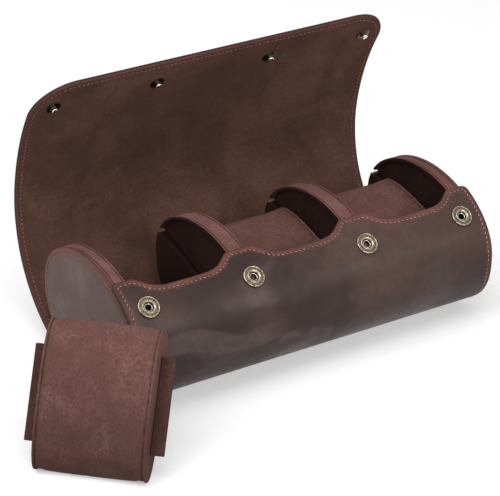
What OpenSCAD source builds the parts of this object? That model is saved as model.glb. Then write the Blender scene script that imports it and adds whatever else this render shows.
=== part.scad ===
// Roll-shaped leather travel case with three slide-in cushions and a snap-down flap.
// X runs along the case, Y from front to back, Z up. The origin is the middle of the flat base.

/* [Case] */
// Depth of the end plates and dividers, front to back
plate_depth = 107; // [96:1:120]
// Height of the rounded upper half of a plate
crown_h = 36; // [30:0.5:42]
// Height of the fuller lower half of a plate
belly_h = 37.4; // [32:0.2:44]
// Fullness of the lower half, where 2 is an ellipse
belly_n = 2.5; // [2.2:0.05:2.9]
// Thickness of a divider from lip to lip
divider_t = 11; // [9.5:0.25:14]
// Thickness of an end plate
end_t = 9; // [8:0.25:12]
// How far the sheet stands past the end plates
overhang = 1.6; // [0.8:0.2:3]
// Depth of the flat that the case rests on
base_flat = 0.4; // [0.2:0.1:0.8]

/* [Sheet] */
// Thickness of the outer leather
leather_t = 1.4; // [1:0.1:2]
// Thickness of the stiffener between leather and lining
stiffener_t = 0.8; // [0.5:0.1:1.2]
// Thickness of the suede lining
lining_t = 0.8; // [0.6:0.1:1.2]
// Thickness of the suede lining on the flap
flap_lining_t = 1.2; // [0.8:0.1:1.5]

/* [Front edge] */
// Distance from the front of the plates back to the tops of the tabs
tab_in = 27.5; // [22:0.5:34]
// Distance from the front of the plates back to the floor of each cut-out
cut_in = 18; // [14:0.5:20]
// How far a tab stands over the bay on each side of its plate
tab_lap = 2.3; // [0:0.1:6]
// Width of the slanting side of a cut-out
cut_slope = 8.5; // [5:0.5:14]

/* [Flap] */
// Distance from the back of the plates forward to the first fold
flex_in = 33.7; // [30:0.1:38]
// Space under the flap's first panel
flex_lift = 0.1; // [0.1:0.1:0.4]
// Gap between neighbouring panels at a fold
fold_gap = 0.4; // [0.3:0.1:0.8]
// Radius of the flap's free corners
flap_corner_r = 25; // [12:1:28]

/* [Snaps] */
// Distance from the front of the plates back to the snaps
snap_in = 9.5; // [6:0.1:11]
// Distance of the end snaps from the ends of the sheet
snap_inset = 13.8; // [10:0.2:18]
// Distance of the studs from the flap's free edge
stud_inset = 18.3; // [14:0.1:22]
// Diameter of the socket ring
socket_d = 12.3; // [10:0.1:14]
// How far the socket ring stands proud of the leather
socket_h = 1.1; // [0.8:0.1:1.4]
// Diameter of the socket's bore
socket_bore = 4.8; // [4.4:0.1:5.4]
// Diameter of the stud's head
stud_d = 3.6; // [3:0.1:4]
// Length of a stud from the lining to its tip
stud_l = 3; // [2.4:0.1:3.4]
// Diameter of the cap on the outside of the flap
cap_d = 12.3; // [10:0.1:14]

/* [Plates] */
// Thickness of the rim band round each plate
rim_t = 1.2; // [0.8:0.1:2]
// Thickness of a divider's core board
core_t = 1.1; // [0.8:0.1:2]
// How far the upper pads lie back inside the rim's lips
pad_recess = 1.5; // [0.8:0.1:2.5]
// Thickness of the leather disc on each end plate
end_leather_t = 1.4; // [1:0.1:2]
// Tilt of the cushion slots, lower at the front
slot_tilt = 14; // [8:0.5:20]
// Height of the slots above the base at the middle of the case
slot_z = 41.6; // [38:0.2:46]
// Clear height of a slot
slot_h = 4; // [3.6:0.1:5]

/* [Cushions] */
// Width of a cushion over its side discs
cushion_w = 59.2; // [50:0.2:72]
// Length of a cushion
cushion_l = 78; // [66:0.5:84]
// Thickness of a cushion
cushion_t = 26; // [20:0.5:30]
// Fullness of a cushion's oval, where 2 is an ellipse
cushion_n = 2.5; // [2.2:0.05:3]
// Thickness of a cushion's suede cover
cover_t = 1.5; // [1:0.1:2.5]
// Thickness of a side disc
side_t = 1.2; // [0.8:0.1:2]
// How far the side discs stand proud of the cover
side_lip = 0.5; // [0.3:0.1:1]
// Clear space between a cushion and the side of its bay
cushion_gap = 1.2; // [0.6:0.1:2]
// Clear space between the tip of a wing and the core of its plate
wing_tip_gap = 0.75; // [0.4:0.05:1.5]
// Length of a wing
wing_l = 50; // [40:0.5:56]
// Thickness of a wing
wing_t = 3; // [2:0.1:3.2]
// Place of the middle of a cushion along its slots when it is home
home_s = -1.5; // [-4:0.5:4]
// Turn of the cushion that stands outside, about the vertical
stand_yaw = -44; // [-50:1:-38]
// Lean of the cushion that stands outside
stand_lean = 33; // [28:0.5:38]
// How far that cushion stands to the left of the case's front corner
stand_shift = 13; // [8:0.5:20]
// Space between that cushion and the case
stand_gap = 2; // [1:0.5:6]

/* [Hidden] */

leather_brown = [0.30, 0.24, 0.22];
lining_brown = [0.29, 0.19, 0.17];
suede_brown = [0.37, 0.23, 0.20];
board_grey = [0.45, 0.40, 0.36];
foam_cream = [0.86, 0.82, 0.72];
brass = [0.62, 0.54, 0.40];

half_depth = plate_depth / 2;
sheet_t = leather_t + stiffener_t + lining_t;
flap_t = leather_t + flap_lining_t;
crown_z = belly_h + sheet_t - base_flat;
bay_w = cushion_w + 2 * cushion_gap;
divider_x = (bay_w + divider_t) / 2;
end_in_x = divider_x + divider_t / 2 + bay_w;
end_out_x = end_in_x + end_t;
half_len = end_out_x + overhang;
slot_depth = (divider_t - core_t) / 2;
wing_w = cushion_gap + slot_depth - wing_tip_gap;
tab_y = half_depth - tab_in;
cut_y = half_depth - cut_in;
snap_y = half_depth - snap_in;
flex_y = half_depth - flex_in;
cut_top_w = bay_w - 2 * tab_lap;
cut_floor_w = cut_top_w - 2 * cut_slope;
snap_xs = [-half_len + snap_inset, -divider_x, divider_x, half_len - snap_inset];
bay_xs = [-bay_w - divider_t, 0, bay_w + divider_t];

/* Case outline: an ellipse above its widest level and a fuller curve below, off outwards */

outline_step = 5;
function rim_y(t, off) = (half_depth + off) * (sin(t) >= 0
    ? cos(t)
    : sign(cos(t)) * pow(abs(cos(t)), 2 / belly_n));
function rim_z(t, off) = sin(t) >= 0
    ? crown_z + (crown_h + off) * sin(t)
    : crown_z - (belly_h + off) * pow(abs(sin(t)), 2 / belly_n);
function rim_pt(t, off) = [rim_y(t, off), max(rim_z(t, off), 0)];
function rim_normal(t, off) = atan2(sin(t) / (crown_h + off), cos(t) / (half_depth + off));
function top_t(y, off) = acos(-y / (half_depth + off));
function belly_t(y, off) = 360 - acos(pow(y / (half_depth + off), belly_n / 2));
function outline(off) = [for (t = [0:outline_step:360 - outline_step]) rim_pt(t, off)];

// the sheet's run from its front edge under the case to the first fold, at one depth in the sheet
flex_end_y = flex_y - fold_gap / 2;
function run_ts(off) = let (t0 = top_t(tab_y, 0), t1 = belly_t(flex_end_y, off), step = outline_step)
    concat([t0], [for (t = [ceil(t0 / step) * step:step:floor(t1 / step) * step]) t], [t1]);
function run_pts(off) = [for (t = run_ts(off)) rim_pt(t, off)];
function reversed(list) = [for (i = [len(list) - 1:-1:0]) list[i]];

module along_x(x0, x1) translate([x0, 0, 0]) rotate([90, 0, 90]) linear_extrude(x1 - x0) children();
module plate_slice(x0, x1, off) along_x(x0, x1) polygon(outline(off));

/* Sheet under the case and up its front */

cut_t = top_t(cut_y, 0);
cut_normal = rim_normal(cut_t, 0);
cut_run = norm(rim_pt(top_t(tab_y, 0), 0) - rim_pt(cut_t, 0));
cut_reach = 12;
side_steps = 8;

// one side of a cut-out, from its floor up to the top of the tab, as a smooth step
function cut_side(s) = [for (k = [0:side_steps])
    let (f = k / side_steps)
    [s * (cut_floor_w + (cut_top_w - cut_floor_w) * f) / 2, cut_run * (1 - cos(180 * f)) / 2]];

module front_cut_outs()
    for (x = bay_xs)
        translate([x, rim_y(cut_t, 0), rim_z(cut_t, 0)])
            rotate([cut_normal - 90, 0, 0])
                linear_extrude(2 * cut_reach, center = true)
                    polygon(concat(
                        cut_side(1),
                        [[cut_top_w / 2, cut_run + cut_reach], [-cut_top_w / 2, cut_run + cut_reach]],
                        reversed(cut_side(-1))));

module sheet_layer(inner, outer, hole_d)
    difference() {
        along_x(-half_len, half_len) polygon(concat(run_pts(outer), reversed(run_pts(inner))));
        front_cut_outs();
        at_snaps() cylinder(d = hole_d, h = 4 * sheet_t, center = true, $fn = 48);
    }

/* Snaps: the socket's axis is the sheet's normal, and its zero is the outer leather */

snap_t = top_t(snap_y, sheet_t);
barrel_d = socket_bore + 1.8;
barrel_gap = 0.1;
washer_d = socket_d - 2.3;
washer_t = 0.8;
// a flat washer lies this far inside the curved lining, whose inner face meets its edge
washer_seat = 0.4;
washer_z = -sheet_t - washer_seat;
pocket_gap = 0.2;
barrel_end = -washer_z + washer_t / 2;
spring_wire = 0.5;
spring_z = -0.6;

module at_snaps()
    for (x = snap_xs)
        translate([x, rim_y(snap_t, sheet_t), rim_z(snap_t, sheet_t)])
            rotate([rim_normal(snap_t, sheet_t) - 90, 0, 0])
                children();

module snap_sockets()
    color(brass) at_snaps() rotate_extrude($fn = 48) difference() {
        polygon([
            [socket_bore / 2, -barrel_end], [barrel_d / 2, -barrel_end], [barrel_d / 2, 0], [socket_d / 2, 0],
            [socket_d / 2, socket_h * 0.3], [socket_d / 2 - 0.9, socket_h * 0.9], [socket_d / 2 - 2.4, socket_h],
            [socket_bore / 2 + 0.5, socket_h * 0.6], [socket_bore / 2, socket_h * 0.2]]);
        translate([0, spring_z - spring_wire / 2 - pocket_gap / 2])
            square([socket_bore / 2 + spring_wire, spring_wire + pocket_gap]);
    }

module socket_springs()
    color("silver") at_snaps() translate([0, 0, spring_z])
        rotate_extrude($fn = 48) translate([socket_bore / 2 + spring_wire / 2 - 0.05, 0])
            circle(d = spring_wire, $fn = 24);

module socket_washers()
    color(brass) at_snaps() rotate_extrude($fn = 48) polygon([
        [socket_bore / 2, -barrel_end], [barrel_d / 2 + barrel_gap, -barrel_end],
        [barrel_d / 2 + barrel_gap, washer_z], [washer_d / 2, washer_z],
        [washer_d / 2, washer_z - washer_t], [socket_bore / 2, washer_z - washer_t]]);

// room in the plates for the washers behind the sheet
module washer_pockets()
    at_snaps() translate([0, 0, washer_z - washer_t - pocket_gap])
        cylinder(d = washer_d + 2 * pocket_gap, h = washer_t + sheet_t, $fn = 48);

/* End plates and dividers */

heel_s = home_s - wing_l / 2 - 0.3;

// everything between two levels measured from the slots' mid-plane, from s0 backwards
module slot_band(x0, x1, s0, low, high)
    translate([x0, 0, slot_z]) rotate([slot_tilt, 0, 0]) translate([0, s0, low])
        cube([x1 - x0, plate_depth - s0, high - low]);

module rim_band(x0, x1, slots)
    difference() {
        plate_slice(x0, x1, 0);
        plate_slice(x0 - 1, x1 + 1, -rim_t);
        for (s = slots) slot_band(s[0], s[1], 0, -slot_h / 2, slot_h / 2);
        washer_pockets();
    }

module core(x0, x1)
    difference() {
        plate_slice(x0, x1, -rim_t);
        washer_pockets();
    }

module upper_pad(x0, x1)
    difference() {
        intersection() {
            plate_slice(x0, x1, -rim_t);
            slot_band(x0, x1, -plate_depth, slot_h / 2, plate_depth);
        }
        washer_pockets();
    }

// the lower pad has a heel that closes the front end of the slot
module lower_pad(x0, x1)
    difference() {
        plate_slice(x0, x1, -rim_t);
        slot_band(x0 - 1, x1 + 1, -plate_depth, slot_h / 2, plate_depth);
        slot_band(x0 - 1, x1 + 1, heel_s, -slot_h / 2, plate_depth);
        washer_pockets();
    }

end_face_x = end_in_x + slot_depth;
end_disc_x = end_out_x - end_leather_t;

module to_end(side) mirror([side < 0 ? 1 : 0, 0, 0]) children();
module end_leather(side) color(leather_brown) to_end(side) plate_slice(end_disc_x, end_out_x, 0);
module end_core(side) color(board_grey) to_end(side) core(end_face_x, end_disc_x);
module end_rim_band(side)
    color(suede_brown) to_end(side) rim_band(end_in_x, end_disc_x, [[end_in_x - 1, end_face_x]]);
module end_upper_pad(side) color(lining_brown) to_end(side) upper_pad(end_in_x + pad_recess, end_face_x);
module end_lower_pad(side) color(lining_brown) to_end(side) lower_pad(end_in_x, end_face_x);

// the slots in both faces of a divider's band, as pairs of x limits
function divider_slots(x) = [
    [x - divider_t / 2 - 1, x - core_t / 2],
    [x + core_t / 2, x + divider_t / 2 + 1]];

module divider_core(x) color(board_grey) core(x - core_t / 2, x + core_t / 2);
module divider_rim_band(x) color(suede_brown) rim_band(x - divider_t / 2, x + divider_t / 2, divider_slots(x));
module divider_upper_pads(x)
    color(lining_brown) {
        upper_pad(x - divider_t / 2 + pad_recess, x - core_t / 2);
        upper_pad(x + core_t / 2, x + divider_t / 2 - pad_recess);
    }
module divider_lower_pads(x)
    color(lining_brown) {
        lower_pad(x - divider_t / 2, x - core_t / 2);
        lower_pad(x + core_t / 2, x + divider_t / 2);
    }

/* Flap: six panels in a row, each an arc, that lie in one smooth curve when the case is open */

// the way round a plate from the first fold over the back and top to the tabs
girth_ts = [
    belly_t(flex_y, 0),
    for (t = [290:outline_step:355]) t,
    for (t = [0:outline_step:115]) t,
    top_t(tab_y, 0)];
girth = sum_to(len(girth_ts) - 2);
function sum_to(i) = i < 0 ? 0 : sum_to(i - 1) + norm(rim_pt(girth_ts[i + 1], 0) - rim_pt(girth_ts[i], 0));

// each panel's length as a share of that girth, and the angle that its arc turns through
panel_share = [0.222, 0.186, 0.143, 0.224, 0.315, 0.190];
panel_arc = [32, 25, 20, 25, 19, 4];
panels = len(panel_share);
panel_steps = 8;

function panel_len(i) = panel_share[i] * girth;
function panel_r(i) = panel_len(i) / (panel_arc[i] * PI / 180);
function panel_dir(i) = i == 0 ? 0 : panel_dir(i - 1) + panel_arc[i - 1];
function fold_pt(i) = i == 0 ? [flex_y, flap_t + flex_lift] : panel_pt(i - 1, 1, 0);

// a point of panel i at fraction f of its length, out from its inner face
function panel_pt(i, f, out) =
    let (d = panel_dir(i), e = d + f * panel_arc[i], r = panel_r(i))
    fold_pt(i) + [r * (sin(e) - sin(d)) + out * sin(e), r * (cos(d) - cos(e)) - out * cos(e)];

module flap_layer(i, inner, outer) {
    trim = fold_gap / 2 / panel_len(i);
    last = i == panels - 1;
    fs = [for (k = [0:panel_steps]) trim + (1 - trim * (last ? 1 : 2)) * k / panel_steps];
    difference() {
        along_x(-half_len, half_len) polygon(concat(
            [for (f = fs) panel_pt(i, f, outer)],
            reversed([for (f = fs) panel_pt(i, f, inner)])));
        if (last) {
            flap_corner(1);
            flap_corner(-1);
            at_studs() cylinder(d = shank_hole_d, h = 4 * flap_t, center = true, $fn = 48);
        }
    }
}

// what is cut away outside a rounded free corner
module flap_corner(side) {
    e = panel_dir(panels);
    p = panel_pt(panels - 1, 1, 0);
    translate([side * half_len, p[0], p[1]]) rotate([e, 0, 0])
        difference() {
            translate([-flap_corner_r, -flap_corner_r, -2 * flap_t])
                cube([2 * flap_corner_r, 2 * flap_corner_r, 4 * flap_t]);
            translate([-side * flap_corner_r, -flap_corner_r, -3 * flap_t])
                cylinder(r = flap_corner_r, h = 6 * flap_t);
            translate([-side * 2 * flap_corner_r - flap_corner_r, -2 * flap_corner_r, -3 * flap_t])
                cube([2 * flap_corner_r, 2 * flap_corner_r, 6 * flap_t]);
        }
}

module flap_leather(i) color(leather_brown) flap_layer(i, flap_lining_t, flap_t);
module flap_lining(i) color(lining_brown) flap_layer(i, 0, flap_lining_t);

/* Studs and caps: zero is the flap's inner face, and the stud points inwards */

shank_d = 2.4;
shank_hole_d = shank_d + 0.2;
stud_flange_d = 8.6;
stud_flange_t = 0.6;
cap_h = 1.4;

module at_studs() {
    f = 1 - stud_inset / panel_len(panels - 1);
    e = panel_dir(panels - 1) + f * panel_arc[panels - 1];
    p = panel_pt(panels - 1, f, 0);
    for (x = snap_xs)
        translate([x, p[0], p[1]]) rotate([e, 0, 0]) children();
}

// the stud is a tube whose foot is riveted over the cap's shank
module snap_studs()
    color(brass) at_studs() rotate_extrude($fn = 48) polygon([
        [shank_d / 2, 0.02], [stud_flange_d / 2, 0.02], [stud_flange_d / 2, stud_flange_t * 0.6],
        [stud_flange_d / 2 - 0.6, stud_flange_t], [stud_d / 2 - 0.4, stud_flange_t],
        [stud_d / 2 - 0.4, stud_l * 0.6], [stud_d / 2, stud_l * 0.75], [stud_d / 2 - 0.3, stud_l],
        [shank_d / 2 - 0.4, stud_l], [shank_d / 2 - 0.4, stud_l * 0.8], [shank_d / 2, stud_l * 0.8]]);

module snap_caps()
    color(brass) at_studs() rotate_extrude($fn = 48) polygon([
        [0, -flap_t - cap_h], [cap_d / 2 - 2, -flap_t - cap_h * 0.9], [cap_d / 2 - 0.4, -flap_t - cap_h * 0.5],
        [cap_d / 2, -flap_t - 0.02], [shank_d / 2 - 0.02, -flap_t - 0.02], [shank_d / 2 - 0.02, stud_l * 0.4],
        [0, stud_l * 0.4]]);

/* Cushions: in their own frame the width is along X, the length along Y and the face looks up */

oval_step = 6;
cover_gap = 0.1;
cover_w = cushion_w - 2 * side_t;
foam_w = cover_w - 2 * cover_gap;

function oval_pt(t, off) = [
    (cushion_l / 2 + off) * sign(cos(t)) * pow(abs(cos(t)), 2 / cushion_n),
    (cushion_t / 2 + off) * sign(sin(t)) * pow(abs(sin(t)), 2 / cushion_n)];
function oval(off) = [for (t = [0:oval_step:360 - oval_step]) oval_pt(t, off)];

module cushion_foam() color(foam_cream)
    along_x(-foam_w / 2, foam_w / 2) polygon(oval(-side_lip - cover_t - cover_gap));
module cushion_cover() color(suede_brown)
    difference() {
        along_x(-cover_w / 2, cover_w / 2) polygon(oval(-side_lip));
        along_x(-cover_w / 2 - 1, cover_w / 2 + 1) polygon(oval(-side_lip - cover_t));
    }
module cushion_sides() color(suede_brown)
    for (x = [-cushion_w / 2, cushion_w / 2 - side_t]) along_x(x, x + side_t) polygon(oval(0));
module cushion_wings() color(suede_brown)
    for (x = [-cushion_w / 2 - wing_w, cushion_w / 2])
        translate([x, -wing_l / 2, -wing_t / 2]) cube([wing_w, wing_l, wing_t]);

// a cushion that is home lies with its wings just off the floor of its slots
wing_seat_gap = 0.3;
module in_bay(x)
    translate([x, 0, slot_z]) rotate([slot_tilt, 0, 0])
        translate([0, home_s, (wing_t - slot_h) / 2 + wing_seat_gap]) children();

// the cushion outside stands on its lower end and leans back towards the case's left front corner
function stand_reach(up, out) = max([for (t = [0:oval_step:360 - oval_step])
    let (p = oval_pt(t, 0)) p[0] * up + p[1] * out]);
stand_z = stand_reach(-cos(stand_lean), -sin(stand_lean));
stand_back = [-sin(stand_yaw), cos(stand_yaw)];
stand_right = [cos(stand_yaw), sin(stand_yaw)];
stand_xy = [-half_len, -half_depth - sheet_t]
    - stand_back * (stand_reach(sin(stand_lean), -cos(stand_lean)) + stand_gap)
    - stand_right * stand_shift;

module outside()
    translate([stand_xy[0], stand_xy[1], stand_z]) rotate([90 - stand_lean, 0, stand_yaw]) children();

color(leather_brown) sheet_layer(lining_t + stiffener_t, sheet_t, barrel_d + 2 * barrel_gap);  // outer_leather
color(board_grey) sheet_layer(lining_t, lining_t + stiffener_t, barrel_d + 2 * barrel_gap);  // case_stiffener
color(lining_brown) sheet_layer(0, lining_t, barrel_d + 2 * barrel_gap);  // case_lining
snap_sockets();
socket_springs();
socket_washers();
end_leather(-1);  // left_end_leather
end_core(-1);  // left_end_core
end_rim_band(-1);  // left_end_rim_band
end_upper_pad(-1);  // left_end_upper_pad
end_lower_pad(-1);  // left_end_lower_pad
end_leather(1);  // right_end_leather
end_core(1);  // right_end_core
end_rim_band(1);  // right_end_rim_band
end_upper_pad(1);  // right_end_upper_pad
end_lower_pad(1);  // right_end_lower_pad
divider_core(-divider_x);  // left_divider_core
divider_rim_band(-divider_x);  // left_divider_rim_band
divider_upper_pads(-divider_x);  // left_divider_upper_pads
divider_lower_pads(-divider_x);  // left_divider_lower_pads
divider_core(divider_x);  // right_divider_core
divider_rim_band(divider_x);  // right_divider_rim_band
divider_upper_pads(divider_x);  // right_divider_upper_pads
divider_lower_pads(divider_x);  // right_divider_lower_pads
for (i = [0:panels - 1]) {
    flap_leather(i);
    flap_lining(i);
}
snap_studs();
snap_caps();
in_bay(bay_xs[1]) cushion_foam();  // middle_cushion_foam
in_bay(bay_xs[1]) cushion_cover();  // middle_cushion_cover
in_bay(bay_xs[1]) cushion_sides();  // middle_cushion_sides
in_bay(bay_xs[1]) cushion_wings();  // middle_cushion_wings
in_bay(bay_xs[2]) cushion_foam();  // right_cushion_foam
in_bay(bay_xs[2]) cushion_cover();  // right_cushion_cover
in_bay(bay_xs[2]) cushion_sides();  // right_cushion_sides
in_bay(bay_xs[2]) cushion_wings();  // right_cushion_wings
outside() cushion_foam();  // loose_cushion_foam
outside() cushion_cover();  // loose_cushion_cover
outside() cushion_sides();  // loose_cushion_sides
outside() cushion_wings();  // loose_cushion_wings
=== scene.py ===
# Roll-shaped travel case, opened out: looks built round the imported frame.
# Lengths in the dictionaries are millimetres, but metres in studio and lamps.
import math

import bpy
import numpy as np
from mathutils import Matrix, Vector, kdtree


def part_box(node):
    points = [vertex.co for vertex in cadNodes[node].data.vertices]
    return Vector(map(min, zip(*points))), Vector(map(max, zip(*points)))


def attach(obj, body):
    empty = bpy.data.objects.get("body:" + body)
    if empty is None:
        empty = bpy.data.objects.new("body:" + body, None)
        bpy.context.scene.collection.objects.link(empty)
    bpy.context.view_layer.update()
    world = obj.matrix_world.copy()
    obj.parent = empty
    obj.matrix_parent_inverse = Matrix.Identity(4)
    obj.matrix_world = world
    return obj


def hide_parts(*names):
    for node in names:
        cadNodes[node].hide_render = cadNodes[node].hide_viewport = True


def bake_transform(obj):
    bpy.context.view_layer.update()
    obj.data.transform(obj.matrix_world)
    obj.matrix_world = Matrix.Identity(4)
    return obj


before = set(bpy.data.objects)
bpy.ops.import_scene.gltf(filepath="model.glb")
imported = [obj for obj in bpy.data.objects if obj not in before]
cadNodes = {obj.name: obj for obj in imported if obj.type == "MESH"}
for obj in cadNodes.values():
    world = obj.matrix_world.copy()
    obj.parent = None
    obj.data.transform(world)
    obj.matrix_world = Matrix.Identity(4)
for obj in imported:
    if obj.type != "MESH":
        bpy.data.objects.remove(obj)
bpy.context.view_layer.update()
mm = 0.001
print("frame loaded:", len(cadNodes), "nodes")

case = {
    "halfLength": 114.0, "halfDepth": 53.5, "crown": 36.0, "belly": 37.4, "fullness": 2.5, "level": 40.0,
    "thickness": 3.0, "tabY": 26.0, "cutY": 34.3, "tabCorner": 3.5, "turnedEdge": 1.2,
    "dividerX": 36.3, "dividerThick": 11.0, "endInside": 103.4, "endOutside": 112.4,
    "slotTilt": 14.0, "slotHeight": 4.0, "slotLevel": 41.6, "slotDepth": 4.95, "heel": -26.8,
    "snapY": 44.0, "snapHole": 3.4, "snapXs": (-100.2, -36.3, 36.3, 100.2), "bayXs": (-72.6, 0.0, 72.6),
}
flap = {
    "startY": 19.8, "startZ": 2.7, "thickness": 2.6, "girth": 152.418,
    "shares": (0.222, 0.186, 0.143, 0.224, 0.315, 0.190), "arcs": (32, 25, 20, 25, 19, 4),
    "corner": 25.0, "studInset": 18.3, "restY": 8.0,
}


def toMode(mode):
    bpy.ops.object.mode_set(mode=mode)


# edit mode, with none or all of one kind of element selected
def editWith(kind, action="DESELECT"):
    toMode("EDIT")
    bpy.ops.mesh.select_mode(type=kind)
    bpy.ops.mesh.select_all(action=action)


def deselect():
    if bpy.context.object and bpy.context.object.mode != "OBJECT":
        toMode("OBJECT")
    bpy.ops.object.select_all(action="DESELECT")


def pick(piece):
    deselect()
    piece.select_set(True)
    bpy.context.view_layer.objects.active = piece
    return piece


def named(name):
    piece = bpy.context.object
    piece.name = name
    piece.data.name = name
    return piece


def useModifier(piece, kind, **settings):
    pick(piece)
    modifier = piece.modifiers.new(kind.title(), kind)
    for key, value in settings.items():
        setattr(modifier, key, value)
    bpy.ops.object.modifier_apply(modifier=modifier.name)


def cutAway(piece, cutter):
    useModifier(piece, "BOOLEAN", operation="DIFFERENCE", solver="EXACT", object=cutter)
    bpy.data.objects.remove(cutter)


def smoothed(piece, angle):
    pick(piece)
    bpy.ops.object.shade_smooth_by_angle(angle=math.radians(angle))
    return piece


def editAll(piece):
    pick(piece)
    toMode("EDIT")
    bpy.ops.mesh.select_all(action="SELECT")


def outward(piece):
    editAll(piece)
    bpy.ops.mesh.remove_doubles(threshold=1e-4)
    bpy.ops.mesh.dissolve_degenerate(threshold=1e-4)
    bpy.ops.mesh.select_all(action="SELECT")
    bpy.ops.mesh.normals_make_consistent(inside=False)
    toMode("OBJECT")
    return piece


def points(piece):
    flat = np.empty(len(piece.data.vertices) * 3)
    piece.data.vertices.foreach_get("co", flat)
    return flat.reshape(-1, 3)


def place(piece, co):
    piece.data.vertices.foreach_set("co", np.asarray(co, float).ravel())
    piece.data.update()
    return piece


def moved(piece, matrix):
    piece.data.transform(matrix)
    piece.data.update()
    return piece


def copied(piece, name):
    twin = piece.copy()
    twin.data = piece.data.copy()
    twin.name = twin.data.name = name
    bpy.context.scene.collection.objects.link(twin)
    return twin


def joined(name, parts):
    deselect()
    for part in parts:
        part.select_set(True)
    bpy.context.view_layer.objects.active = parts[0]
    if len(parts) > 1:
        bpy.ops.object.join()
    return named(name)


def toMetres(piece):
    return moved(piece, Matrix.Scale(mm, 4))


# outline of the plates: half an ellipse above, a fuller curve below that ends on the ground
def rimPoint(angle, off):
    c, s = math.cos(math.radians(angle)), math.sin(math.radians(angle))
    wide, power = case["halfDepth"] + off, 2 / case["fullness"]
    if s >= 0:
        return wide * c, case["level"] + (case["crown"] + off) * s
    return math.copysign(wide * abs(c) ** power, c), max(case["level"] - (case["belly"] + off) * abs(s) ** power, 0)


# a point on the opened flap, whose stretches are arcs that run into each other
def panelPoint(panel, part, out):
    y, z, turn = flap["startY"], flap["startZ"], 0.0
    for k in range(panel + 1):
        arc = math.radians(flap["arcs"][k])
        radius = flap["shares"][k] * flap["girth"] / arc
        f = part if k == panel else 1
        end = turn + f * arc
        y, z = y + radius * (math.sin(end) - math.sin(turn)), z + radius * (math.cos(turn) - math.cos(end))
        turn = end if k == panel else turn + arc
    return y + out * math.sin(turn), z - out * math.cos(turn)


# outer and inner face of the sheet, from the front edge under the case and up the flap, and the way along it
frontAngle = math.degrees(math.acos(-case["tabY"] / case["halfDepth"]))
outerDepth = case["halfDepth"] + case["thickness"]
restAngle = 360 - math.degrees(math.acos((flap["restY"] / outerDepth) ** (case["fullness"] / 2)))
wallAngles = np.linspace(frontAngle, restAngle, 320)
wallRun = [(rimPoint(a, case["thickness"]), rimPoint(a, 0)) for a in wallAngles]
flapRun, panelStart, lastPanel = [], [], len(flap["arcs"]) - 1
for panel in range(lastPanel + 1):
    panelStart.append(len(wallRun) + len(flapRun))
    flapRun += [(panelPoint(panel, f, flap["thickness"]), panelPoint(panel, f, 0))
                for f in np.linspace(0, 1, 40, endpoint=panel == lastPanel)]
run = np.array([outer + inner for outer, inner in wallRun + flapRun])
way = np.concatenate([[0], np.cumsum(np.hypot(*np.diff(run[:, :2], axis=0).T))])
wallEnd, flapStart, flapEnd = way[len(wallRun) - 1], way[len(wallRun)], way[-1]
folds = [way[k] for k in panelStart]
bends = [wallEnd] + [(a + b) / 2 for a, b in zip(folds, folds[1:] + [flapEnd])]
splits = bends[:-1]
cutAngle = math.degrees(math.acos(-case["cutY"] / case["halfDepth"]))
cutRun = math.dist(rimPoint(frontAngle, 0), rimPoint(cutAngle, 0))
print("sheet is", round(flapEnd, 1), "mm from edge to edge")


# flat pattern (x, way, depth under the outer face) laid round the case
def laidRound(flatPoints):
    x, s, d = flatPoints.T
    oy, oz, iy, iz = (np.interp(s, way, run[:, k]) for k in range(4))
    thick = np.hypot(iy - oy, iz - oz)
    return np.column_stack([x, oy + (iy - oy) * d / thick, oz + (iz - oz) * d / thick]) * mm


def layRound(piece):
    return place(piece, laidRound(points(piece)))


# how far the front edge lies under the tabs, from the middle of a bay outwards:
# flat floor, long toe, steep shoulder
cutSteps = np.linspace(-3, 45, 481)
cutRise = np.interp(np.abs(cutSteps), (0, 13, 17.5, 21.3, 28.3), (0, 0.03, 0.13, 0.34, 1))
cutFall = cutRun * (1 - np.convolve(np.pad(cutRise, 12, mode="edge"), np.ones(25) / 25, mode="valid"))


def frontLine(inset):
    xs = np.linspace(-case["halfLength"], case["halfLength"], 1500)
    front = np.interp(np.min([np.abs(xs - bay) for bay in case["bayXs"]], axis=0), cutSteps, cutFall)
    slope = np.gradient(front, xs)
    length = np.hypot(1, slope)
    kept = []
    for x, s in zip(xs - inset * slope / length, front + inset / length):
        if abs(x) <= case["halfLength"] - inset + 1e-6 and (not kept or x > kept[-1][0]):
            kept.append((x, s))
    return np.array(kept)


# a square corner of the grid eased into a quarter round
def eased(x, s, wide, end, radius, towards):
    u, v = (abs(x) - wide + radius) / radius, (towards * (s - end) + radius) / radius
    if u <= 0 or v <= 0:
        return x, s
    return (math.copysign(wide - radius + radius * u * math.sqrt(1 - v * v / 2), x),
            end + towards * (radius * v * math.sqrt(1 - u * u / 2) - radius))


# closed line round the whole sheet, a given distance inside its edge
def edgeLine(inset):
    half, last = case["halfLength"] - inset, flapEnd - inset
    corner, tab = flap["corner"] - inset, case["tabCorner"] - inset
    front = [tuple(p) for p in frontLine(inset) if abs(p[0]) < half - tab]
    lower = [(half - tab + tab * math.sin(a), inset + tab - tab * math.cos(a))
             for a in np.linspace(0, math.pi / 2, 16)]
    side = [(half, s) for s in np.linspace(inset + tab, last - corner, 400)[1:]]
    upper = [(half - corner + corner * math.cos(a), last - corner + corner * math.sin(a))
             for a in np.linspace(0, math.pi / 2, 60)[1:]]
    right = lower + side + upper
    end = [(x, last) for x in np.linspace(half - corner, corner - half, 300)[1:-1]]
    return np.array(front + right + end + [(-x, s) for x, s in reversed(right)])


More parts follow.
